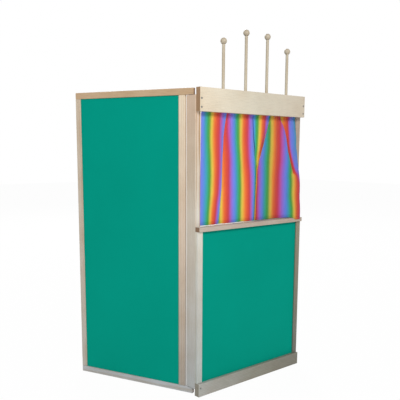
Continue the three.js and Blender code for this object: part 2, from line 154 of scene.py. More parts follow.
def birch(name, wood_and_light_tones, grain="X", turn=0.0, pith=(0.0, 0.0, 0.0), ring="#F4ECE2", end="#B79C86"):
    """wood_and_light_tones are (place, colour) pairs down the grain, which runs along an axis: the wood's own tone
    with painted light and shade, lighter where more light falls. turn swings it about Z for the wings. ring and
    end tint the growth rings and the end grain."""
    material, tree = new_material(name)
    coordinates = add(tree, "ShaderNodeTexCoord")
    facing = {"X": (0, 0, 0), "Z": (0, math.pi / 2, 0)}[grain]
    swing = add(tree, "ShaderNodeMapping", {
        "Vector": coordinates.outputs["Object"],
        "Rotation": (0, 0, -turn),
    })
    lay = add(tree, "ShaderNodeMapping", {
        "Vector": swing.outputs["Vector"],
        "Rotation": facing,
        "Location": pith,
    })
    stretched = add(tree, "ShaderNodeMapping", {
        "Vector": lay.outputs["Vector"],
        "Scale": (ALONG_STRETCH, 1, 1),
    })
    rings = add(tree, "ShaderNodeTexWave", {
        "Vector": stretched.outputs["Vector"],
        "Scale": math.pi / (10 * RING_SPACING),
        "Distortion": 5.0,
        "Detail": 3.0,
        "Detail Scale": 0.6,
        "Detail Roughness": 0.55,
    }, wave_type="RINGS", rings_direction="X")
    fibres = add(tree, "ShaderNodeTexNoise", {
        "Vector": stretched.outputs["Vector"],
        "Scale": 1 / FIBRE_SPACING,
        "Detail": 4.0,
        "Roughness": 0.6,
    })
    flecks = add(tree, "ShaderNodeTexNoise", {
        "Vector": lay.outputs["Vector"],
        "Scale": 1 / FLECK_SPACING,
        "Detail": 3.0,
        "Roughness": 0.75,
    })
    patches = add(tree, "ShaderNodeTexNoise", {
        "Vector": lay.outputs["Vector"],
        "Scale": 1 / PATCH_SPACING,
        "Detail": 2.0,
    })
    # The tones down the grain are the wood's own tone with painted light and shade on it.
    start, stop = wood_and_light_tones[0][0], wood_and_light_tones[-1][0]
    places = add(tree, "ShaderNodeSeparateXYZ", {"Vector": swing.outputs["Vector"]})
    down = add(tree, "ShaderNodeMapRange", {0: places.outputs[grain], 1: start, 2: stop})
    stops = [((place - start) / (stop - start), colour(code)) for place, code in wood_and_light_tones]
    grain_and_painted_light = add(tree, "ShaderNodeValToRGB", {"Fac": down.outputs[0]}, stops).outputs["Color"]
    for figure, share, stops in (
        (rings, 1.0, [(0.6, grey(1.0)), (1.0, colour(ring))]),
        (fibres, 0.8, [(0.3, grey(FIBRE_SHADE)), (0.62, grey(1.0))]),
        (flecks, 0.6, [(0.32, grey(FLECK_SHADE)), (0.46, grey(1.0))]),
        (patches, 0.8, [(0.35, colour(DRIFT)), (0.65, grey(1.0))]),
    ):
        shade = add(tree, "ShaderNodeValToRGB", {"Fac": figure.outputs["Fac"]}, stops)
        grain_and_painted_light = add(tree, "ShaderNodeMix", {
            0: share,
            6: grain_and_painted_light,
            7: shade.outputs["Color"],
        }, data_type="RGBA", blend_type="MULTIPLY").outputs[2]
    swung_normal = add(tree, "ShaderNodeMapping", {
        "Vector": coordinates.outputs["Normal"],
        "Rotation": (0, 0, -turn),
    }, vector_type="VECTOR")
    laid_normal = add(tree, "ShaderNodeMapping", {
        "Vector": swung_normal.outputs["Vector"],
        "Rotation": facing,
    }, vector_type="VECTOR")
    parts = add(tree, "ShaderNodeSeparateXYZ", {"Vector": laid_normal.outputs["Vector"]})
    endwise = add(tree, "ShaderNodeMath", {0: parts.outputs["X"]}, operation="ABSOLUTE")
    sawn = add(tree, "ShaderNodeValToRGB", {"Fac": endwise.outputs[0]}, [
        (0.6, grey(0.0)), (0.95, grey(1.0)),
    ])
    end_grain = add(tree, "ShaderNodeMix", {
        0: 1.0,
        6: grain_and_painted_light,
        7: colour(end),
    }, data_type="RGBA", blend_type="MULTIPLY")
    surface = add(tree, "ShaderNodeMix", {
        0: sawn.outputs["Color"],
        6: grain_and_painted_light,
        7: end_grain.outputs[2],
    }, data_type="RGBA")
    rough = add(tree, "ShaderNodeValToRGB", {"Fac": fibres.outputs["Fac"]}, [
        (0.3, grey(0.62)), (0.7, grey(0.5)),
    ])
    bump = add(tree, "ShaderNodeBump", {
        "Height": fibres.outputs["Fac"],
        "Strength": 0.12,
        "Distance": FIBRE_RELIEF,
    })
    show(tree, {
        "Base Color": surface.outputs[2],
        "Roughness": rough.outputs["Color"],
        "Normal": bump.outputs["Normal"],
        "IOR": 1.5,
        "Specular IOR Level": 0.3,
        "Coat Weight": 0.12,
        "Coat Roughness": 0.35,
    })
    return material


# Thin fibreboard with an even coat of matt green paint, rolled on: a faint orange-peel texture
# and hardly any change of tone.

ROLLER_SPACING = 2.5 * MM
ROLLER_RELIEF = 0.15 * MM
CLOUD_SPACING = 333.3 * MM


def green_paint():
    material, tree = new_material("matt_green_paint_on_board")
    coordinates = add(tree, "ShaderNodeTexCoord")
    stipple = add(tree, "ShaderNodeTexNoise", {
        "Vector": coordinates.outputs["Object"],
        "Scale": 1 / ROLLER_SPACING,
        "Detail": 2.0,
    })
    clouds = add(tree, "ShaderNodeTexNoise", {
        "Vector": coordinates.outputs["Object"],
        "Scale": 1 / CLOUD_SPACING,
        "Detail": 3.0,
    })
    tone = add(tree, "ShaderNodeValToRGB", {"Fac": clouds.outputs["Fac"]}, [
        (0.3, colour("#008D7A")), (0.7, colour("#00917E")),
    ])
    rough = add(tree, "ShaderNodeValToRGB", {"Fac": stipple.outputs["Fac"]}, [
        (0.3, grey(0.68)), (0.7, grey(0.8)),
    ])
    bump = add(tree, "ShaderNodeBump", {
        "Height": stipple.outputs["Fac"],
        "Strength": 0.15,
        "Distance": ROLLER_RELIEF,
    })
    show(tree, {
        "Base Color": tone.outputs["Color"],
        "Roughness": rough.outputs["Color"],
        "Normal": bump.outputs["Normal"],
        "Specular IOR Level": 0.03,
    })
    return material


# Zinc-plated steel: a fine cloudy grain and an uneven satin shine. The grain is drawn coarser
# than it really is, so that it shows.

PLATING_GRAIN = 1.1111 * MM


def zinc_steel():
    material, tree = new_material("zinc_plated_steel")
    coordinates = add(tree, "ShaderNodeTexCoord")
    haze = add(tree, "ShaderNodeTexNoise", {
        "Vector": coordinates.outputs["Object"],
        "Scale": 1 / PLATING_GRAIN,
        "Detail": 3.0,
    })
    tone = add(tree, "ShaderNodeValToRGB", {"Fac": haze.outputs["Fac"]}, [
        (0.3, colour("#6E6E6D")), (0.7, colour("#8E8E8C")),
    ])
    rough = add(tree, "ShaderNodeValToRGB", {"Fac": haze.outputs["Fac"]}, [
        (0.3, grey(0.45)), (0.7, grey(0.3)),
    ])
    show(tree, {
        "Base Color": tone.outputs["Color"],
        "Roughness": rough.outputs["Color"],
        "Metallic": 1.0,
    })
    return material


# Plain-woven cotton, printed with soft-edged rainbow stripes that run down the cloth.
# The UV map holds the cloth's own flat places, in metres, so stripes and weave follow the folds.
# Threads are drawn 1.5 mm apart, coarser than real ones, so that they show.

THREAD_SPACING = 1.5 * MM
THREAD_RELIEF = 0.2 * MM
SLUB_WIDTH = 3.3333 * MM
SLUB_LENGTH = 40 * MM
CLOTH_DROP = 500 * MM
HEM = 12 * MM
STITCH_ROW = 22.5 * MM
STITCH_WIDTH = 0.6 * MM
STITCH_LENGTH = 3.2 * MM
STITCH_RISES = (0.1, 0.2, 0.8, 0.9)
STITCH_THREAD = "#E9E2EC"
# How dark the painted shade on the turned-up hem is
HEM_PAINTED_SHADE = 0.86
WEAVE_SHADE = 0.95
SLUB_SHADE = 0.93
STRIPES = [
    (0.00, "#D84A48"), (0.05, "#CC4460"), (0.12, "#C45CAA"), (0.19, "#A070D6"),
    (0.29, "#7A8AF0"), (0.37, "#6094E6"), (0.43, "#48A0C8"), (0.50, "#3EAE94"),
    (0.56, "#44A858"), (0.61, "#5CA64A"), (0.66, "#B0B848"), (0.70, "#E0CA50"),
    (0.75, "#F0BC4A"), (0.80, "#F69440"), (0.865, "#EE6E38"), (0.94, "#E2543C"),
    (1.00, "#D84A48"),
]


def share_of_repeat(tree, place, repeat):
    """How far a place on the flat cloth lies along its own repeat, from 0 to 1."""
    repeats = add(tree, "ShaderNodeMath", {0: place, 1: repeat}, operation="DIVIDE")
    return add(tree, "ShaderNodeMath", {0: repeats.outputs[0]}, operation="FRACT").outputs[0]


def striped_cotton(name, painted_shade_tint):
    """painted_shade_tint darkens the whole print with painted shade, more on the right half, where the light falls
    off.
    """
    material, tree = new_material(name)
    flat = add(tree, "ShaderNodeUVMap", uv_map="cloth")
    parts = add(tree, "ShaderNodeSeparateXYZ", {"Vector": flat.outputs["UV"]})
    printed = share_of_repeat(tree, parts.outputs["X"], STRIPE_REPEAT)
    stripes = add(tree, "ShaderNodeValToRGB", {"Fac": printed}, [
        (place, colour(code)) for place, code in STRIPES
    ])
    threads = []
    for axis in ("X", "Y"):
        turns = add(tree, "ShaderNodeMath", {
            0: parts.outputs[axis],
            1: math.tau / THREAD_SPACING,
        }, operation="MULTIPLY")
        threads.append(add(tree, "ShaderNodeMath", {0: turns.outputs[0]}, operation="SINE").outputs[0])
    weave = add(tree, "ShaderNodeMath", {0: threads[0], 1: threads[1]}, operation="MULTIPLY")
    height = add(tree, "ShaderNodeMath", {0: weave.outputs[0], 1: 0.5, 2: 0.5}, operation="MULTIPLY_ADD")
    drawn_out = add(tree, "ShaderNodeMapping", {
        "Vector": flat.outputs["UV"],
        "Scale": (1 / SLUB_WIDTH, 1 / SLUB_LENGTH, 1),
    })
    slub = add(tree, "ShaderNodeTexNoise", {
        "Vector": drawn_out.outputs["Vector"],
        "Scale": 1.0,
        "Detail": 3.0,
    })
    up = add(tree, "ShaderNodeMath", {0: parts.outputs["Y"], 1: CLOTH_DROP}, operation="DIVIDE")
    # The bottom of the cloth, where the hem is turned up, is darkened with painted shade.
    hem_painted_shade = [(2 * HEM / CLOTH_DROP, grey(HEM_PAINTED_SHADE)), (2.15 * HEM / CLOTH_DROP, grey(1.0))]
    shades = [colour(painted_shade_tint)]
    for factor, stops in (
        (height.outputs[0], [(0.0, grey(WEAVE_SHADE)), (1.0, grey(1.0))]),
        (slub.outputs["Fac"], [(0.3, grey(SLUB_SHADE)), (0.7, grey(1.0))]),
        (up.outputs[0], hem_painted_shade),
    ):
        shades.append(add(tree, "ShaderNodeValToRGB", {"Fac": factor}, stops).outputs["Color"])
    woven = stripes.outputs["Color"]
    for shade in shades:
        woven = add(tree, "ShaderNodeMix", {
            0: 1.0,
            6: woven,
            7: shade,
        }, data_type="RGBA", blend_type="MULTIPLY").outputs[2]
    row = [(STITCH_ROW + side * STITCH_WIDTH) / CLOTH_DROP for side in (-1, -0.5, 0.5, 1)]
    stitch = share_of_repeat(tree, parts.outputs["X"], STITCH_LENGTH)
    bands = []
    for factor, rises in ((up.outputs[0], row), (stitch, STITCH_RISES)):
        stops = [(rise, grey(tone)) for rise, tone in zip(rises, (0.0, 1.0, 1.0, 0.0))]
        bands.append(add(tree, "ShaderNodeValToRGB", {"Fac": factor}, stops).outputs["Color"])
    sewn = add(tree, "ShaderNodeMix", {
        0: 1.0,
        6: bands[0],
        7: bands[1],
    }, data_type="RGBA", blend_type="MULTIPLY")
    stitched = add(tree, "ShaderNodeMix", {
        0: sewn.outputs[2],
        6: woven,
        7: colour(STITCH_THREAD),
    }, data_type="RGBA")
    bump = add(tree, "ShaderNodeBump", {
        "Height": height.outputs[0],
        "Strength": 0.25,
        "Distance": THREAD_RELIEF,
    })
    show(tree, {
        "Base Color": stitched.outputs[2],
        "Normal": bump.outputs["Normal"],
        "Roughness": 0.85,
        "Specular IOR Level": 0.15,
        "Sheen Weight": 0.15,
        "Sheen Roughness": 0.5,
    })
    return material


# Modelling

def select_only(piece):
    bpy.ops.object.select_all(action="DESELECT")
    piece.select_set(True)
    bpy.context.view_layer.objects.active = piece


def apply_place(piece):
    select_only(piece)
    bpy.ops.object.transform_apply(location=True, rotation=True, scale=True)


def block(name, low, high):
    low, high = Vector(low), Vector(high)
    bpy.ops.mesh.primitive_cube_add(size=1, location=(low + high) / 2, scale=high - low)
    made = bpy.context.object
    made.name = name
    apply_place(made)
    return made


def upright_bar(name, radius, middle, foot, top, sides=BAR_SIDES):
    """A round bar that stands around a point, between two heights."""
    low, high = Vector((middle.x, middle.y, foot)), Vector((middle.x, middle.y, top))
    bpy.ops.mesh.primitive_cylinder_add(
        vertices=sides, radius=radius, depth=high.z - low.z, location=(low + high) / 2,
    )
    made = bpy.context.object
    made.name = name
    apply_place(made)
    return made


def cut(piece, cutters):
    for cutter in cutters:
        modifier = piece.modifiers.new("cut", "BOOLEAN")
        modifier.operation = "DIFFERENCE"
        modifier.solver = "EXACT"
        modifier.object = cutter
        select_only(piece)
        bpy.ops.object.modifier_apply(modifier=modifier.name)
        bpy.data.objects.remove(cutter, do_unlink=True)


def round_edges(piece, width, segments=3, angle=SHARP_ANGLE):
    modifier = piece.modifiers.new("arris", "BEVEL")
    modifier.width = width
    modifier.segments = segments
    modifier.limit_method = "ANGLE"
    modifier.angle_limit = math.radians(angle)
    select_only(piece)
    bpy.ops.object.modifier_apply(modifier=modifier.name)


def smooth_faces(piece):
    """Arrises and turned faces look round, and flat faces flat, whatever is cut into them."""
    select_only(piece)
    bpy.ops.object.shade_smooth_by_angle(angle=math.radians(SMOOTH_ANGLE))
    modifier = piece.modifiers.new("flat faces", "WEIGHTED_NORMAL")
    modifier.keep_sharp = True
    bpy.ops.object.modifier_apply(modifier=modifier.name)


def corners(node, flat):
    """A node's lowest and highest corner in the flat frame of its body."""
    back = flat.inverted()
    points = [back @ vertex.co for vertex in frame["nodes"][node].data.vertices]
    low = Vector([min(point[axis] for point in points) for axis in range(3)])
    high = Vector([max(point[axis] for point in points) for axis in range(3)])
    return low, high


def give_surface(piece, material):
    piece.data.materials.clear()
    piece.data.materials.append(material)


def finish_piece(piece, node, body, material):
    """The piece stands for the node and moves with the body."""
    give_surface(piece, material)
    piece.data.name = piece.name
    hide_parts(node)
    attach(piece, body)
    return piece


def finish_board(piece, node, material):
    smooth_faces(piece)
    return finish_piece(piece, node, BODIES[node], material)


def set_in_place(piece, flat):
    piece.matrix_world = flat
    apply_place(piece)


BODIES = {node: body for body, nodes in frame["record"]["behaviour"]["bodies"].items() for node in nodes}


# Battens. A panel's edge stands in a groove of each batten that frames it, and that groove is
# cut where the panel and its clearance reach into the batten.

def groove_for(panel, flat):
    low, high = corners(panel, flat)
    room = GROOVE_CLEARANCE * Vector((1, 1, 1))
    return block("groove", low - room, high + room)


def lying_bar(radius, tip_radius, place, low, high):
    """A round bar or cone that runs backstage, between two depths."""
    bpy.ops.mesh.primitive_cone_add(
        vertices=BAR_SIDES, radius1=radius, radius2=tip_radius, depth=high - low,
        location=(place.x, (low + high) / 2, place.z), rotation=(-math.pi / 2, 0, 0),
    )
    made = bpy.context.object
    apply_place(made)
    return made


def screw_holes(word):
    """Countersunk holes with a clear fit for the screws whose names hold the word."""
    cutters = []
    for screw in sorted(node for node in frame["nodes"] if "screw" in node and word in node):
        low, high = (Vector(corner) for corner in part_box(screw))
        middle = (low + high) / 2
        head = (high.x - low.x) / 2 + SCREW_CLEARANCE
        shank = SCREW_SHANK + SCREW_CLEARANCE
        countersunk = low.y + SCREW_HEAD_HEIGHT
        cutters.append(lying_bar(shank, shank, middle, low.y, high.y + SCREW_CLEARANCE))
        cutters.append(lying_bar(head, shank, middle, low.y, countersunk + SCREW_CLEARANCE))
        cutters.append(lying_bar(head, head, middle, low.y - CUT_OVERRUN, low.y + SCREW_CLEARANCE))
    return cutters


def batten(node, material, panel=None, bored=False, carved=None, screws=None):
    """A planed board. carved makes the cutters of its own notches or sockets. The panel's groove
    and the pivot's bore are cut next, then the edges are eased, and the screw holes come last."""
    flat = FLAT[BODIES[node]]
    low, high = corners(node, flat)
    made = block(f"{node}_board", low, high)
    if carved:
        cut(made, carved(low, high))
    if panel:
        cut(made, [groove_for(panel, flat)])
    if bored:
        foot, top = low.z - CUT_OVERRUN, high.z + CUT_OVERRUN
        cut(made, [upright_bar("bore", PIVOT_BORE, Vector(), foot, top)])
    round_edges(made, ARRIS, angle=BOARD_SHARP_ANGLE)
    if screws:
        cut(made, screw_holes(screws))
    set_in_place(made, flat)
    return finish_board(made, node, material)


def beside_posts(low, high):
    """The sill fills the space between the posts, so its back corners are cut away there."""
    cutters = []
    for side, post in ((-1, "left_post"), (1, "right_post")):
        post_low, post_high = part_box(post)
        inner = post_high[0] if side < 0 else post_low[0]
        edge = inner - side * GROOVE_CLEARANCE
        outer = low.x - CUT_OVERRUN if side < 0 else high.x + CUT_OVERRUN
        cutters.append(block(
            "notch",
            (min(edge, outer), post_low[1] - GROOVE_CLEARANCE, low.z - CUT_OVERRUN),
            (max(edge, outer), high.y + CUT_OVERRUN, high.z + CUT_OVERRUN),
        ))
    return cutters


peg_names = sorted(node for node in frame["nodes"] if node.startswith("peg_dowel"))


def peg_sockets(low, high):
    """Each peg's dowel stands in a blind socket in the header's top."""
    sockets = []
    for peg in peg_names:
        peg_low, peg_high = (Vector(corner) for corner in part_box(peg))
        middle = (peg_low + peg_high) / 2
        radius = (peg_high.x - peg_low.x) / 2 + PEG_CLEARANCE
        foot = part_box(peg)[0][2] - PEG_CLEARANCE
        sockets.append(upright_bar("socket", radius, middle, foot, high.z + CUT_OVERRUN))
    return sockets


# Each batten has its own tone. Along the grain its tones are painted light and shade: lighter to the left and
# towards the top, darker to the right and towards the floor, where the light falls off. The boards on the right
# are darker still. Places along the front or up a post are in metres.

HALF_FRONT = 0.3
WING = 0.55
POST_TOP = 1.19
POST_FOOT = 0.03


def even_birch(name, tone, pith, reach=HALF_FRONT, turn=0.0):
    """Birch of one tone all along a lying piece."""
    return birch(name, [(-reach, tone), (reach, tone)], turn=turn, pith=pith)


# Each board's tones below are painted light and shade as well as the wood's own tone.
woods = {
    "header": birch(
        "birch_header", [(-HALF_FRONT, "#E8DCC6"), (0, "#D4CDBB"), (HALF_FRONT, "#CEC3B1")],
        pith=(0.1, 0.052, 0.06), ring="#F9F5EF",
    ),
    "front_bottom_rail": birch(
        "birch_bottom_rail", [(-HALF_FRONT, "#B0B1AE"), (0, "#908E83"), (HALF_FRONT, "#7C7B71")],
        pith=(0.3, 0.05, 0.03), end="#CFC8BC",
    ),
    "front_sill": birch(
        "birch_sill", [(-HALF_FRONT, "#C4B9AE"), (HALF_FRONT, "#B2A396")],
        pith=(0.5, 0.04, 0.02),
    ),
    "front_left_stile": birch(
        "birch_left_stile", [(0.66, "#E0DFD6"), (0.4, "#C8C8C2"), (0.06, "#BDC5C5")],
        "Z", pith=(0, 0.05, 0.2),
    ),
    "front_right_stile": birch(
        "birch_right_stile", [(0.66, "#8E8773"), (0.06, "#6C6D66")],
        "Z", pith=(0, 0.03, 0.3),
    ),
    "left_post": birch(
        "birch_left_post",
        [(POST_TOP, "#DFC9B4"), (0.95, "#D8C9B6"), (0.75, "#DED8CC"), (POST_FOOT, "#BBC0C3")],
        "Z", pith=(0, 0.08, -0.26), ring="#D9C2AA",
    ),
    "right_post": birch(
        "birch_right_post", [(POST_TOP, "#B19E8F"), (POST_FOOT, "#A0998E")],
        "Z", pith=(0, 0.06, 0.2),
    ),
}
for side in ("left", "right"):
    wing = f"{side}_wing"
    turn = OPEN_ANGLE[wing]
    woods[f"{wing}_top_rail"] = even_birch(
        f"birch_{wing}_top_rail", "#C0A585", (0.2, 0.03, 0.05), WING, turn)
    woods[f"{wing}_bottom_rail"] = even_birch(
        f"birch_{wing}_bottom_rail", "#B3B6B9", (0.7, 0.04, 0.05), WING, turn)
    woods[f"{wing}_inner_stile"] = birch(
        f"birch_{wing}_inner_stile", [(POST_TOP, "#DFD0B8"), (0.7, "#D3C1AE"), (POST_FOOT, "#A69C92")],
        "Z", turn, pith=(0, 0.02, 0.4),
    )
    woods[f"{wing}_outer_stile"] = birch(
        f"birch_{wing}_outer_stile", [(POST_TOP, "#C9B9A4"), (POST_FOOT, "#B5AFA6")],
        "Z", turn, pith=(0, 0.06, 0.7),
    )

batten("front_bottom_rail", woods["front_bottom_rail"], "front_lower_panel", screws="bottom_rail_screw")
batten("front_left_stile", woods["front_left_stile"], "front_lower_panel")
batten("front_right_stile", woods["front_right_stile"], "front_lower_panel")
batten("front_sill", woods["front_sill"], "front_lower_panel", carved=beside_posts)
batten("left_post", woods["left_post"], screws="left")
batten("right_post", woods["right_post"], screws="right")

batten("header", woods["header"], carved=peg_sockets, screws="header_screw")
for side in ("left", "right"):
    wing = f"{side}_wing"
    for name in ("bottom_rail", "top_rail", "inner_stile", "outer_stile"):
        node = f"{wing}_{name}"
        batten(node, woods[node], f"{wing}_panel", bored=name.endswith("rail"))


# Panels

green = green_paint()


def panel(node):
    flat = FLAT[BODIES[node]]
    made = block(f"{node}_board", *corners(node, flat))
    round_edges(made, PANEL_ARRIS, segments=2)
    set_in_place(made, flat)
    return finish_board(made, node, green)


for node in ("front_lower_panel", "left_wing_panel", "right_wing_panel"):
    panel(node)


# Puppet pegs: dowels with eased ends in the header's sockets, each with a turned ball on top

DOWEL_CHAMFER = 0.8 * MM
peg_wood = birch("birch_pegs", [(1.45, "#BCB29F"), (1.2, "#C4B9A4")], "Z", pith=(0, 0.02, 0.1))


def dowel(node):
    low, high = (Vector(corner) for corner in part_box(node))
    middle = (low + high) / 2
    made = upright_bar(f"{node}_turned", (high.x - low.x) / 2, middle, low.z, high.z, PEG_SIDES)
    round_edges(made, DOWEL_CHAMFER)
    return finish_board(made, node, peg_wood)


def ball(node, dowel_node):
    """A turned ball, cut flat below where the dowel goes in, with its bore."""
    low, high = (Vector(corner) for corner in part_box(node))
    radius = (high.x - low.x) / 2
    middle = Vector(((low.x + high.x) / 2, (low.y + high.y) / 2, high.z - radius))
    bpy.ops.mesh.primitive_uv_sphere_add(
        segments=PEG_SIDES, ring_count=PEG_SIDES // 2, radius=radius, location=middle,
    )
    made = bpy.context.object
    made.name = f"{node}_turned"
    apply_place(made)
    bpy.ops.object.mode_set(mode="EDIT")
    bpy.ops.mesh.select_all(action="SELECT")
    bpy.ops.mesh.bisect(plane_co=low, plane_no=(0, 0, 1), use_fill=True, clear_inner=True)
    bpy.ops.object.mode_set(mode="OBJECT")
    dowel_low, dowel_high = (Vector(corner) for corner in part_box(dowel_node))
    bore = (dowel_high.x - dowel_low.x) / 2 + PEG_CLEARANCE
    foot, top = low.z - CUT_OVERRUN, dowel_high.z + PEG_CLEARANCE
    cut(made, [upright_bar("bore", bore, middle, foot, top, PEG_SIDES)])
    round_edges(made, DOWEL_CHAMFER / 2, segments=2, angle=BALL_SHARP_ANGLE)
    return finish_board(made, node, peg_wood)


for peg in peg_names:
    dowel(peg)
    ball(peg.replace("dowel", "ball"), peg)


# Curtain rod: a plain dowel with eased ends, held in a cup at each post

def curtain_rod():
    low, high = (Vector(corner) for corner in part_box("curtain_rod"))
    half = (high.x - low.x) / 2
    made = upright_bar("curtain_rod_dowel", (high.z - low.z) / 2, Vector(), -half, half)
    bpy.ops.object.mode_set(mode="EDIT")
    bpy.ops.mesh.select_all(action="SELECT")
    bpy.ops.transform.rotate(value=math.pi / 2, orient_axis="Y", center_override=(0, 0, 0))
    bpy.ops.transform.translate(value=(low + high) / 2)
    bpy.ops.object.mode_set(mode="OBJECT")
    round_edges(made, DOWEL_CHAMFER / 2)
    return finish_board(made, "curtain_rod", even_birch("birch_curtain_rod", "#D9CCB4", (0.2, 0.02, 0.1)))


curtain_rod()

# Pins, washers, screws and rod cups keep their CAD shape
steel = zinc_steel()
cup_wood = even_birch("birch_rod_cups", "#D4C6AE", (0.2, 0.01, 0.1))
for name, node in frame["nodes"].items():
    if any(word in name for word in ("screw", "pin", "washer")):
        give_surface(node, steel)
    elif name.startswith("rod_socket"):
        give_surface(node, cup_wood)


# Stage curtain, in mm from the stage's middle. Each half hangs from a sleeve round the rod, in one
# deep pleat and soft folds. The right half's free edge swings across in front of the left half,
# and its outer edge comes forward over the post and spills over the sill.
# Depths are measured back from the front of the sleeve. fall runs from 0 at the rod to 1 at the hem.

# Where the rod, the sleeve and the hem lie

ROD_LOW, ROD_HIGH = (Vector(corner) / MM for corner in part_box("curtain_rod"))
ROD_RADIUS = (ROD_HIGH.z - ROD_LOW.z) / 2
ROD_DEPTH = (ROD_LOW.y + ROD_HIGH.y) / 2
ROD_HEIGHT = (ROD_LOW.z + ROD_HIGH.z) / 2
SILL_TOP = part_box("front_sill")[1][2] / MM
HEM_GAP = 2.8
HEM_HEIGHT = SILL_TOP + HEM_GAP
SLEEVE_GAP = 0.9
SLEEVE_RADIUS = ROD_RADIUS + SLEEVE_GAP
SLEEVE_DEPTH = 12
SEAM_FALL = 0.026
SLEEVE_END = 0.07
HEM_DEPTH = HEM / MM
HEM_LAYER = 0.9
HEM_TURN = 0.8
POST_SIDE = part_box("right_post")[0][0] / MM
SOCKET_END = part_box("rod_socket_right")[0][0] / MM
SOCKET_GAP = 2
POST_GAP = 3
BESIDE_SOCKET = SOCKET_END - SOCKET_GAP
BESIDE_POST = POST_SIDE - POST_GAP
DRAWN_IN = 5
MEETING_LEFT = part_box("curtain_left")[1][0] / MM
MEETING_GAP = 3.2
MEETING_RIGHT = MEETING_LEFT + MEETING_GAP
FREE_EDGE_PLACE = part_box("curtain_right")[0][0] / MM

# How deep and wide the folds are. TURN is half the width of a pleat's turned edge.
FOLD_DEPTH = 3.6
LAYER_GAP = 2.4
TURN = 1.5
PLEAT_POINTS = 7
OPEN_STEP = 3
LEFT_PLEAT, LEFT_PLEAT_AT_HEM = 42, 13
RIGHT_PLEAT = 52
EDGE_PLEAT = 50
VALLEY_DEPTH = 7
DEEP_VALLEY = 14.2
VALLEY_LEAN = 13
VALLEY_MOUTH = 6
VALLEY_LIP = 1.5
TUCKED_DEPTH = 9
TUCK_RUN = 25
EDGE_BARED = 3.4

# How far the right half's outer edge comes forward, spreads over the post and spills over the sill
FORWARD = 12.5
SPREAD = 27
SPILL = 16.5
DIP = 10

# Small gathers below the sleeve, soft folds and shallow creases: how far out, how wide and how long
GATHER_SIZE, GATHER_WIDTH, GATHER_WANDER = 1.5, 15, (45, 160)
GATHER_START = 0.03
GATHER_FADE = 0.09
GATHER_SWAY = 3
SOFT_FOLD_SIZE, SOFT_FOLD_SPAN = 4.2, (30, 420)
CREASE_SIZE, CREASE_SPAN = 1.1, (13, 60)

COLUMN_STEPS = 11
DROP_STEPS = 100
SLEEVE_STEPS = 18
HEADING_STEPS = 5


def soft(value, low, high):
    share = min(max((value - low) / (high - low), 0), 1)
    return share * share * (3 - 2 * share)


def between(low, high, share):
    return low + (high - low) * share


def along(points, value):
    """Straight lines through (place, value) points, level beyond the ends."""
    if value <= points[0][0]:
        return points[0][1]
    for (start, first), (end, second) in zip(points, points[1:]):
        if value <= end:
            return between(first, second, (value - start) / (end - start))
    return points[-1][1]


def hang(fall):
    """0 in the sleeve and 1 below it, where the cloth hangs free."""
    return soft(fall, SEAM_FALL, SLEEVE_END)


# Lines that the folds follow, as pairs of a fall and a place from the middle. Depths are how far
# a pleat's layers reach.
FREE_EDGE_PLACES = [
    (0.0, MEETING_RIGHT), (0.07, 111), (0.18, 96), (0.31, 76), (0.44, 54),
    (0.53, 43), (0.66, 40), (0.83, 35), (1.0, 32),
]
FREE_EDGE_DEPTHS = [(0.07, EDGE_PLEAT), (0.19, 46), (0.31, 38), (0.45, 22), (0.56, 11), (1.0, 11)]
LEFT_PLEAT_PLACES = [(0.0, -138), (0.07, -140), (0.24, -150), (0.4, -156), (0.72, -163), (1.0, -174)]
VALLEY_PLACES = [(0.0, 3), (0.07, 5), (0.18, 10), (0.31, 19), (0.44, 30), (0.53, 37)]
RIGHT_PLEAT_PLACES = [
    (0.0, 170), (0.06, 178), (0.17, 201), (0.31, 215), (0.445, 231), (0.59, 243), (0.64, 250),
]
CREASE_PLACES = [(0.0, 226), (0.08, 225), (0.23, 221), (0.31, 226), (0.47, 243), (0.6, 256)]

# Where the stripes lie: phase counts repeats of the print from a red stripe, and the left half's
# outer edge is cut a quarter of a repeat into one. Each list pairs a fall or a place with a phase.
LEFT_EDGE_PHASE = 0.25
LEFT_END_PHASE = 4.35
RIGHT_EDGE_PHASE = -0.28
PLEAT_FRONT_PHASES = [
    (0.08, 1.36), (0.32, 1.32), (0.46, 1.3), (0.7, 1.3), (0.87, 1.38), (1.0, 1.43),
]
PLEAT_BACK_PHASES = [(0.08, 1.93), (0.32, 1.87), (0.46, 1.8), (0.66, 1.74), (1.0, 1.62)]
PANEL_LAG = 0.36
SHOWN_PHASES = [
    (20, -0.12), (53, 0.2), (69, 0.36), (119, 0.7), (141, 0.82), (172, 1.05),
    (187, 1.2), (202, 1.34), (223, 1.58), (236, 1.7), (268.5, 2.0), (276, 2.07),
]
FREE_EDGE_PHASES = [
    (0.07, 0.66), (0.18, 0.5), (0.31, 0.35), (0.44, 0.2), (0.53, 0.1), (0.66, 0.07), (1.0, 0.0),
]
RIGHT_PLEAT_PHASES = [
    (0.08, 1.08), (0.19, 1.26), (0.32, 1.37), (0.46, 1.54), (0.58, 1.72), (0.62, 1.78),
]
BEHIND_PLEAT_PHASES = [(0.07, 1.68), (0.17, 1.86), (0.31, 1.96), (0.55, 1.96), (0.62, 1.8)]
CREASE_PHASES = [(0.07, 1.97), (0.55, 2.03), (0.68, 1.9)]
RIGHT_END_PHASES = [(0.3, 2.45), (0.52, 2.32), (0.68, 2.1), (1.0, 2.12)]
CREASE_FOLDED_PHASE = 0.24

# Lines of the left half's print that wander as they fall: the phase, the falls between which the
# line moves, and the places that it moves between
WANDERING_LINES = [
    (2.0, (0.2, 0.45), (-142, -133)), (3.0, (0.25, 0.75), (-27, -10)),
    (3.5, (0.4, 0.6), (28, 40)), (4.0, (0.15, 0.35), (82, 75)),
]

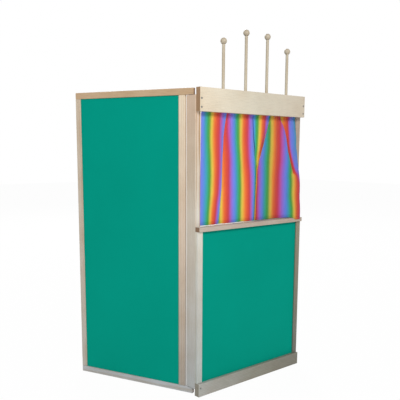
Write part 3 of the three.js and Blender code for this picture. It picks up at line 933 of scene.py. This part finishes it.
# Soft folds of the left half's panel before its pleat: a share of its width and a depth
PANEL_FOLDS = [(0, FOLD_DEPTH), (0.2, 1.2), (0.4, 0), (0.6, 1.5), (0.75, 0.3), (0.88, 1.2)]


def opened(points, place, depth, flat_phase):
    """A pleat's points, laid out flat as its depth goes to zero."""
    folded = soft(depth, 0, TURN * 4)
    made = []
    for index, (x, back, phase) in enumerate(points):
        flat = place + (index - PLEAT_POINTS / 2) * OPEN_STEP
        made.append((between(flat, x, folded), back * folded, between(flat_phase(flat), phase, folded)))
    return made


def opened_share(x, place):
    """How far along an opened pleat a place lies, from 0 to 1."""
    return 0.5 + (x - place) / (PLEAT_POINTS * OPEN_STEP)


def standing_pleat(place, depth, behind, phases, flat_phase):
    """The front layer ends at place, turns back for the depth, and comes out behind itself."""
    back = behind + LAYER_GAP
    front_phase, back_phase = phases
    middle_phase = (front_phase + back_phase) / 2
    return opened([
        (place - TURN, 0, front_phase),
        (place, behind / 2, front_phase),
        (place - TURN, behind, front_phase),
        (place - depth + TURN, behind, middle_phase),
        (place - depth, (behind + back) / 2, middle_phase),
        (place - depth + TURN, back, middle_phase),
        (place + TURN, back, back_phase),
    ], place, depth, flat_phase)


def edge_pleat(place, depth, phase, bared):
    """The free edge's cloth lies in two layers behind the fold that shows, and its last bit is bared."""
    middle = LAYER_GAP
    back = middle + LAYER_GAP
    middle_phase = (RIGHT_EDGE_PHASE + phase) / 2
    return opened([
        (place + TURN - bared, back, RIGHT_EDGE_PHASE),
        (place + depth - TURN, back, middle_phase),
        (place + depth, (middle + back) / 2, middle_phase),
        (place + depth - TURN, middle, middle_phase),
        (place + TURN + bared, middle, phase),
        (place + bared, middle / 2, phase),
        (place + TURN + bared, 0, phase),
    ], place + OPEN_STEP * PLEAT_POINTS / 2, depth, lambda x: along(SHOWN_PHASES, x))


def creased_valley(valley, wedge, shown):
    """A narrow valley that leans away to the right, and opens where it runs out into the tuck."""
    low = shown(valley - VALLEY_MOUTH / 2, VALLEY_LIP)
    high = shown(valley + VALLEY_MOUTH / 2, VALLEY_LIP)
    deep = between(VALLEY_DEPTH, DEEP_VALLEY, wedge)
    bottom = []
    for side, share in ((-0.6, 0.85), (0, 1), (0.6, 0.85)):
        x = valley + side * VALLEY_MOUTH / 4 + VALLEY_LEAN * wedge
        bottom.append((x, deep * share, between(low[2], high[2], (side + 1) / 2)))
    return [low, *bottom, (high[0], between(VALLEY_DEPTH, VALLEY_LIP, wedge), high[2])]


def left_section(fall):
    """The left half's points at one height, from the post to the middle: place, depth and phase."""
    left = -between(BESIDE_SOCKET, BESIDE_POST, soft(fall, 0, SLEEVE_END))
    right = MEETING_LEFT
    place = along(LEFT_PLEAT_PLACES, fall)
    depth = between(LEFT_PLEAT, LEFT_PLEAT_AT_HEM, soft(fall, 0.6, 1)) * hang(fall)
    tucked = along(FREE_EDGE_PLACES, fall) - TURN - OPEN_STEP
    valley = min(along(VALLEY_PLACES, fall), tucked - TUCK_RUN / 2)
    wedge = soft(tucked - valley, TUCK_RUN / 2, TUCK_RUN * 2)
    crest = place + TUCK_RUN
    front_phase = along(PLEAT_FRONT_PHASES, fall)
    back_phase = along(PLEAT_BACK_PHASES, fall)
    anchors = [(place + TURN, back_phase)]
    for phase, falls, places in WANDERING_LINES:
        anchors.append((between(*places, soft(fall, *falls)), phase))
    anchors.append((right, LEFT_END_PHASE))

    def shown(x, back):
        return (x, back, along(anchors, x))

    def bunched(x):
        return between(front_phase, back_phase, opened_share(x, place))

    pleat = standing_pleat(place, depth, LAYER_GAP, (front_phase, back_phase), bunched)
    lag = PANEL_LAG * soft(fall, 0.2, 0.6)
    outer_panel = []
    for share, back in PANEL_FOLDS:
        eased = share - lag * share * (1 - share)
        phase = between(LEFT_EDGE_PHASE, front_phase, eased)
        outer_panel.append((between(left, place, share), back, phase))
    before_valley = valley - TUCK_RUN
    hollow = (crest + before_valley) / 2
    return [
        *outer_panel,
        *[(x, back + LAYER_GAP * 2, phase) for x, back, phase in pleat],
        shown(place + TUCK_RUN * 0.3, LAYER_GAP * 2.2),
        shown(crest, 0),
        shown(between(crest, hollow, 0.5), 0.8),
        shown(hollow, FOLD_DEPTH),
        shown(between(hollow, before_valley, 0.5), 0.8),
        shown(before_valley, 0),
        *creased_valley(valley, wedge, shown),
        shown(between(valley, tucked, 0.6), between(VALLEY_DEPTH, 0, wedge)),
        shown(between(valley, tucked, 0.85), between(TUCKED_DEPTH, 3, wedge)),
        shown(tucked, TUCKED_DEPTH),
        shown((tucked + right) / 2, TUCKED_DEPTH),
        shown(right, TUCKED_DEPTH),
    ]


def right_section(fall):
    """The right half's points at one height, from its free edge to the post: place, depth and phase."""
    place = along(FREE_EDGE_PLACES, fall)
    drawn_in = DRAWN_IN * soft(fall, 0.1, 0.2) * (1 - soft(fall, 0.3, 0.4))
    right = between(BESIDE_SOCKET, BESIDE_POST, soft(fall, 0, SLEEVE_END)) - drawn_in
    pleat_place = along(RIGHT_PLEAT_PLACES, fall)
    crease = along(CREASE_PLACES, fall)
    depth = RIGHT_PLEAT * (1 - soft(fall, 0.32, 0.62)) * hang(fall)
    edge_phase = along(FREE_EDGE_PHASES, fall)
    pleat_phase = along(RIGHT_PLEAT_PHASES, fall)
    behind_phase = along(BEHIND_PLEAT_PHASES, fall)
    crease_phase = along(CREASE_PHASES, fall)
    end_phase = along(RIGHT_END_PHASES, fall)
    emerged = pleat_place + TURN
    creased = (1 - soft(fall, 0.5, 0.62)) * hang(fall)
    settled = 1 - soft(fall, 0.06, 0.26)
    bared = EDGE_BARED * soft(fall, 0.44, 0.53)
    edge = edge_pleat(place, along(FREE_EDGE_DEPTHS, fall) * hang(fall), edge_phase, bared)
    start = edge[-1][0]

    def shown(share, back):
        x = between(start, pleat_place, share)
        ease = (x - place) / (pleat_place - place)
        off = (edge_phase - along(SHOWN_PHASES, place)) * (1 - ease) ** 3
        off += (pleat_phase - along(SHOWN_PHASES, pleat_place)) * ease ** 3
        return (x, back, along(SHOWN_PHASES, x) + off)

    def before_crease(share, back):
        phase = between(behind_phase, crease_phase, share)
        return (between(emerged, crease, share), back * creased, phase)

    def after_crease(share, back):
        phase = between(crease_phase + CREASE_FOLDED_PHASE * creased, end_phase, share)
        return (between(crease, right, share), back, phase)

    def smoothed(x):
        if fall > 0.3:
            return along(SHOWN_PHASES, x)
        return between(pleat_phase, behind_phase, opened_share(x, pleat_place))

    return [
        *edge,
        shown(0.17, 0.4),
        shown(0.34, FOLD_DEPTH * 0.5),
        shown(0.5, FOLD_DEPTH * 0.5),
        shown(0.66, 0.5),
        shown(0.83, 0),
        *standing_pleat(pleat_place, depth, 3 * LAYER_GAP, (pleat_phase, behind_phase), smoothed),
        before_crease(0.4, LAYER_GAP * 2),
        before_crease(0.75, 0.5),
        (crease, 4 * creased, crease_phase),
        after_crease(0.15, 1),
        after_crease(0.5, 0),
        after_crease(0.8, FOLD_DEPTH * 0.4 * settled),
        after_crease(1, FOLD_DEPTH * settled),
    ]


def spline_columns(section):
    """A smooth run along a section's points, as cubic B-spline spans that end on its end points."""
    points = [Vector(point) for point in section]
    points = [2 * points[0] - points[1], *points, 2 * points[-1] - points[-2]]
    columns = []
    for index in range(len(points) - 3):
        a, b, c, d = points[index:index + 4]
        last = index == len(points) - 4
        for step in range(COLUMN_STEPS + (1 if last else 0)):
            t = step / COLUMN_STEPS
            columns.append((
                (1 - t) ** 3 * a + (3 * t ** 3 - 6 * t ** 2 + 4) * b
                + (-3 * t ** 3 + 3 * t ** 2 + 3 * t + 1) * c + t ** 3 * d
            ) / 6)
    return columns


def drop_line():
    """The cloth's middle line from the turned-up hem to the sleeve's seam: depth, height, fall, layer.
    The sleeve goes round the rod and leaves it on a straight line to its seam on the front layer."""
    front = ROD_DEPTH - SLEEVE_RADIUS
    drop = ROD_HEIGHT - HEM_HEIGHT
    line = []
    for rise in (HEM_DEPTH, HEM_DEPTH * 0.6, HEM_DEPTH * 0.25, HEM_TURN):
        line.append((front, HEM_HEIGHT + rise, 1 - rise / drop, HEM_LAYER))
    line.append((front, HEM_HEIGHT, 1, HEM_LAYER / 2))
    line.append((front, HEM_HEIGHT + HEM_TURN, 1, 0))
    for step in range(1, DROP_STEPS + 1):
        fall = 1 - step / DROP_STEPS
        line.append((front, ROD_HEIGHT - fall * drop, fall, 0))
    seam = Vector((HEM_LAYER - SLEEVE_RADIUS, -SLEEVE_DEPTH))
    leaving = math.atan2(seam.y, seam.x) + math.acos(SLEEVE_RADIUS / seam.length)
    for step in range(1, SLEEVE_STEPS + 1):
        angle = between(math.pi, leaving, step / SLEEVE_STEPS)
        depth = ROD_DEPTH + SLEEVE_RADIUS * math.cos(angle)
        line.append((depth, ROD_HEIGHT + SLEEVE_RADIUS * math.sin(angle), 0, 0))
    last_depth, last_height = line[-1][:2]
    for step in range(1, HEADING_STEPS + 1):
        share = step / HEADING_STEPS
        depth = between(last_depth, ROD_DEPTH + seam.x, share)
        line.append((depth, between(last_height, ROD_HEIGHT + seam.y, share), 0, 0))
    return line


def wander(x, height, span, layer):
    """Smooth noise from -1 to 1 over the cloth, with features as wide and long as the span."""
    return noise.noise(Vector((x / span[0], height / span[1], layer)))


def ripple(x, height, fall):
    turned = math.tau * x / GATHER_WIDTH + GATHER_SWAY * wander(x, height, GATHER_WANDER, 2)
    faded = math.exp(-max(fall - GATHER_START, 0) / GATHER_FADE)
    gathers = GATHER_SIZE * math.sin(turned) * faded
    folds = SOFT_FOLD_SIZE * wander(x, height, SOFT_FOLD_SPAN, 7)
    creases = CREASE_SIZE * wander(x, height, CREASE_SPAN, 11)
    return hang(fall) * (gathers + folds + creases)


def hang_left(x, depth, height, fall):
    return x, depth + ripple(x, height, fall), height


def hang_right(x, depth, height, fall):
    across = (x - FREE_EDGE_PLACE) / (BESIDE_POST - FREE_EDGE_PLACE)
    forward = soft(fall, 0.06, 0.26) * soft(across, 0.5, 0.8) * FORWARD
    spill = soft(fall, 0.78, 0.95) * soft(across, 0.66, 0.84)
    spread = soft(fall, 0.34, 0.7) * soft(across, 0.5, 1) * SPREAD * (1 - spill / 2)
    dip = soft(fall, 0.9, 1) * soft(across, 0.8, 0.89) * DIP
    swell = ripple(x, height, fall) * (1 - 0.8 * spill)
    return x + spread, depth - forward - spill * SPILL + swell, height - dip


DROP_LINE = drop_line()


def hung_row(section, hung, line_point):
    """The places and phases of one row of the cloth's points, hung in its folds."""
    depth, height, fall, layer = line_point
    columns = spline_columns(section(fall))
    row = []
    for index, (x, back, phase) in enumerate(columns):
        before = columns[max(index - 1, 0)]
        after = columns[min(index + 1, len(columns) - 1)]
        offset = layer * Vector((before.y - after.y, after.x - before.x)).normalized()
        place = hung(x + offset.x, depth + back * hang(fall) + offset.y, height, fall)
        row.append((MM * Vector(place), phase))
    return row


def hung_sheet(name, node, body, section, hung, material):
    """A flat grid of cloth, hung row by row, whose UV map keeps where its points lie when flat."""
    rows = [hung_row(section, hung, line_point) for line_point in DROP_LINE]
    last_row, last_column = len(rows) - 1, len(rows[0]) - 1
    up = [0.0]
    for below, above in zip(DROP_LINE, DROP_LINE[1:]):
        up.append(up[-1] + math.dist(below[:2], above[:2]) * MM)
    bpy.ops.mesh.primitive_grid_add(x_subdivisions=last_column, y_subdivisions=last_row, size=2)
    piece = bpy.context.object
    piece.name = name
    mesh = piece.data
    places = []
    for vertex in mesh.vertices:
        row = round((vertex.co.y + 1) / 2 * last_row)
        column = round((vertex.co.x + 1) / 2 * last_column)
        places.append((row, column))
        vertex.co = rows[row][column][0]
    flat = mesh.uv_layers.active
    flat.name = "cloth"
    for loop in mesh.loops:
        row, column = places[loop.vertex_index]
        flat.data[loop.index].uv = (rows[row][column][1] * STRIPE_REPEAT, up[row])
    mesh.update()
    modifier = piece.modifiers.new("cloth thickness", "SOLIDIFY")
    modifier.thickness = CLOTH_THICKNESS
    modifier.offset = 0
    select_only(piece)
    bpy.ops.object.modifier_apply(modifier=modifier.name)
    bpy.ops.object.shade_smooth()
    return finish_piece(piece, node, body, material)


# Each half's print is darkened by a grey tint of painted shade, more on the right half.
left_half = hung_sheet(
    "left_curtain_half", "curtain_left", "left_curtain", left_section, hang_left,
    striped_cotton("striped_cotton_left", "#F4F4F4"),
)
right_half = hung_sheet(
    "right_curtain_half", "curtain_right", "right_curtain", right_section, hang_right,
    striped_cotton("striped_cotton_right", "#DEDBDD"),
)


def gather(half):
    """Gives the half a mesh of its own."""
    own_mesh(half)


gather(left_half)
gather(right_half)


# Camera, from a perspective fit of the photograph

CAMERA_PLACE = (-1.78768, -1.72817, 0.98183)
CAMERA_AZIMUTH = math.radians(41.087)
CAMERA_PITCH = math.radians(8.801)
CAMERA_ROLL = math.radians(0.324)
FOCAL_PX = 593.716
CENTRE_PX = (202.007, 242.899)
IMAGE_PX = 400
SENSOR = 36.0
FARTHEST_SEEN = 50


def photograph_camera():
    data = bpy.data.cameras.new("camera")
    data.sensor_width = SENSOR
    data.lens = FOCAL_PX * SENSOR / IMAGE_PX
    data.shift_x = (IMAGE_PX / 2 - CENTRE_PX[0]) / IMAGE_PX
    data.shift_y = (CENTRE_PX[1] - IMAGE_PX / 2) / IMAGE_PX
    data.clip_end = FARTHEST_SEEN
    ahead = Vector((
        math.sin(CAMERA_AZIMUTH) * math.cos(CAMERA_PITCH),
        math.cos(CAMERA_AZIMUTH) * math.cos(CAMERA_PITCH),
        -math.sin(CAMERA_PITCH),
    ))
    level = Vector((math.cos(CAMERA_AZIMUTH), -math.sin(CAMERA_AZIMUTH), 0))
    upward = level.cross(ahead)
    across = math.cos(CAMERA_ROLL) * level + math.sin(CAMERA_ROLL) * upward
    up = -math.sin(CAMERA_ROLL) * level + math.cos(CAMERA_ROLL) * upward
    facing = Matrix((across, up, -ahead)).transposed().to_4x4()
    camera = bpy.data.objects.new("camera", data)
    camera.matrix_world = Matrix.Translation(CAMERA_PLACE) @ facing
    bpy.context.collection.objects.link(camera)
    bpy.context.scene.camera = camera


photograph_camera()


# Studio: a large soft lamp to the left of the front, a weaker one behind to the right, white all round

LAMP_SIZE = 2.4
FLOOR_SIZE = 30
FLOOR_DROP = 0.5 * MM
FLOOR_GLOW = 0.97
SOFT_LIGHT = 0.4


def lamp(name, place, aim, power):
    data = bpy.data.lights.new(name, "AREA")
    data.shape = "DISK"
    data.size = LAMP_SIZE
    data.energy = power
    made = bpy.data.objects.new(name, data)
    made.location = place
    made.rotation_euler = (Vector(aim) - Vector(place)).to_track_quat("-Z", "Y").to_euler()
    bpy.context.collection.objects.link(made)


lamp("key_lamp", (-3.4, -5.0, 4.2), (0, 0, 0.7), 330)
lamp("back_lamp", (3.4, 5.4, 4.2), (0, 0.2, 0.7), 250)


def seen_directly(tree):
    """1 for what the camera sees, also by gloss or through glass, and 0 for light on its way."""
    path = add(tree, "ShaderNodeLightPath")
    direct = add(tree, "ShaderNodeMath", {
        0: path.outputs["Is Camera Ray"],
        1: path.outputs["Is Glossy Ray"],
    }, operation="MAXIMUM")
    direct = add(tree, "ShaderNodeMath", {
        0: direct.outputs[0],
        1: path.outputs["Is Transmission Ray"],
    }, operation="MAXIMUM")
    return direct.outputs[0]


def pale_floor():
    """Diffuse under the lamps, and mostly plain white to the camera, so that a soft shadow is left."""
    material, tree = new_material("pale_floor")
    paint = add(tree, "ShaderNodeBsdfPrincipled", {
        "Base Color": colour("#F0F0F0"),
        "Roughness": 0.9,
        "Specular IOR Level": 0.0,
    })
    glow = add(tree, "ShaderNodeEmission", {"Color": grey(1.0), "Strength": 1.0})
    share = add(tree, "ShaderNodeMath", {0: seen_directly(tree), 1: FLOOR_GLOW}, operation="MULTIPLY")
    both = add(tree, "ShaderNodeMixShader", {
        0: share.outputs[0],
        1: paint.outputs["BSDF"],
        2: glow.outputs["Emission"],
    })
    add(tree, "ShaderNodeOutputMaterial", {"Surface": both.outputs["Shader"]})
    return material


def white_surroundings():
    """An even soft light on the object, and plain white behind it."""
    world = bpy.data.worlds.new("studio")
    world.use_nodes = True
    tree = world.node_tree
    tree.nodes.clear()
    lighting = add(tree, "ShaderNodeBackground", {"Color": grey(1.0), "Strength": SOFT_LIGHT})
    backdrop = add(tree, "ShaderNodeBackground", {"Color": grey(1.0), "Strength": 1.0})
    both = add(tree, "ShaderNodeMixShader", {
        0: seen_directly(tree),
        1: lighting.outputs["Background"],
        2: backdrop.outputs["Background"],
    })
    add(tree, "ShaderNodeOutputWorld", {"Surface": both.outputs["Shader"]})
    bpy.context.scene.world = world


def studio():
    bpy.ops.mesh.primitive_plane_add(size=FLOOR_SIZE, location=(0, 0, -FLOOR_DROP))
    floor = bpy.context.object
    floor.name = "floor"
    floor.data.materials.append(pale_floor())
    white_surroundings()
    bpy.context.scene.view_settings.view_transform = "Standard"


studio()
